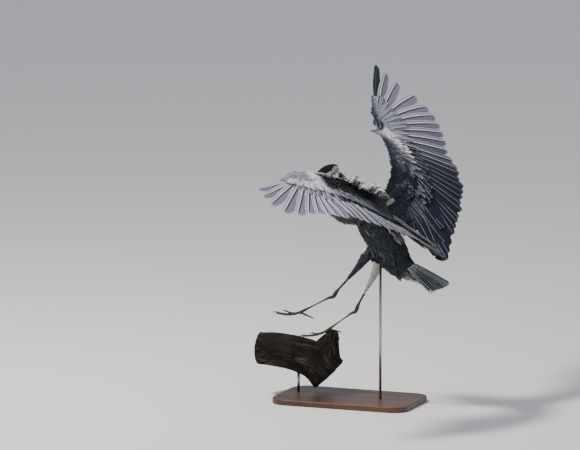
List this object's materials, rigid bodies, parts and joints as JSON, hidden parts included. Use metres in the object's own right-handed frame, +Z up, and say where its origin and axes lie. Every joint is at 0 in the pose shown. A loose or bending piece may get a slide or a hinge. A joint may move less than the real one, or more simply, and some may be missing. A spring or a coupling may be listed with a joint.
{
  "type": "grey heron on a display stand",
  "caption": "Life-size model of a grey heron alighting with raised wings, gripping a cut length of dead branch on a display stand.",
  "frame": {"origin": "middle of the underside of the stand's base", "axes": "+Z up, the bird heads along -X, its left wing towards -Y"},
  "size_m": [0.737, 1.3889, 1.1168],
  "materials": {
    "plumage_slate": "matt feathers, slate grey above, paler at their tips",
    "plumage_pale": "matt feathers, white to pale grey with black markings",
    "flight_feathers": "satin feather vanes with pale shafts",
    "leg_skin": "scaled skin, olive brown",
    "claw_horn": "dark horn",
    "bill_horn": "smooth yellow horn, browner along the ridge",
    "eye": "wet and glossy, yellow with a black pupil",
    "dead_wood": "weathered, cracked and splintered",
    "stand_wood": "dark stained and waxed",
    "stand_steel": "fine brushed"
  },
  "bodies": {
    "root": {"trunk": "plumage_slate", "tail": "plumage_slate", "scapulars_l": "plumage_slate", "scapulars_r": "plumage_slate", "thigh_l": "plumage_slate", "thigh_r": "plumage_slate", "head": "plumage_pale", "neck_lower": "plumage_pale", "neck_bend": "plumage_pale", "neck_upper": "plumage_pale", "wing_l_arm": "plumage_slate", "wing_l_secondaries": "flight_feathers", "wing_l_primaries": "flight_feathers", "wing_l_alula": "flight_feathers", "shank_l": "leg_skin", "foot_l": "leg_skin", "claw_l_1": "claw_horn", "claw_l_2": "claw_horn", "claw_l_3": "claw_horn", "claw_l_4": "claw_horn", "eye_l": "eye", "wing_r_arm": "plumage_slate", "wing_r_secondaries": "flight_feathers", "wing_r_primaries": "flight_feathers", "wing_r_alula": "flight_feathers", "shank_r": "leg_skin", "foot_r": "leg_skin", "claw_r_1": "claw_horn", "claw_r_2": "claw_horn", "claw_r_3": "claw_horn", "claw_r_4": "claw_horn", "eye_r": "eye", "bill_upper": "bill_horn", "bill_lower": "bill_horn", "perch": "dead_wood", "stand_base": "stand_wood", "stand_rod_body": "stand_steel", "stand_rod_perch": "stand_steel"}
  },
  "joints": []
}
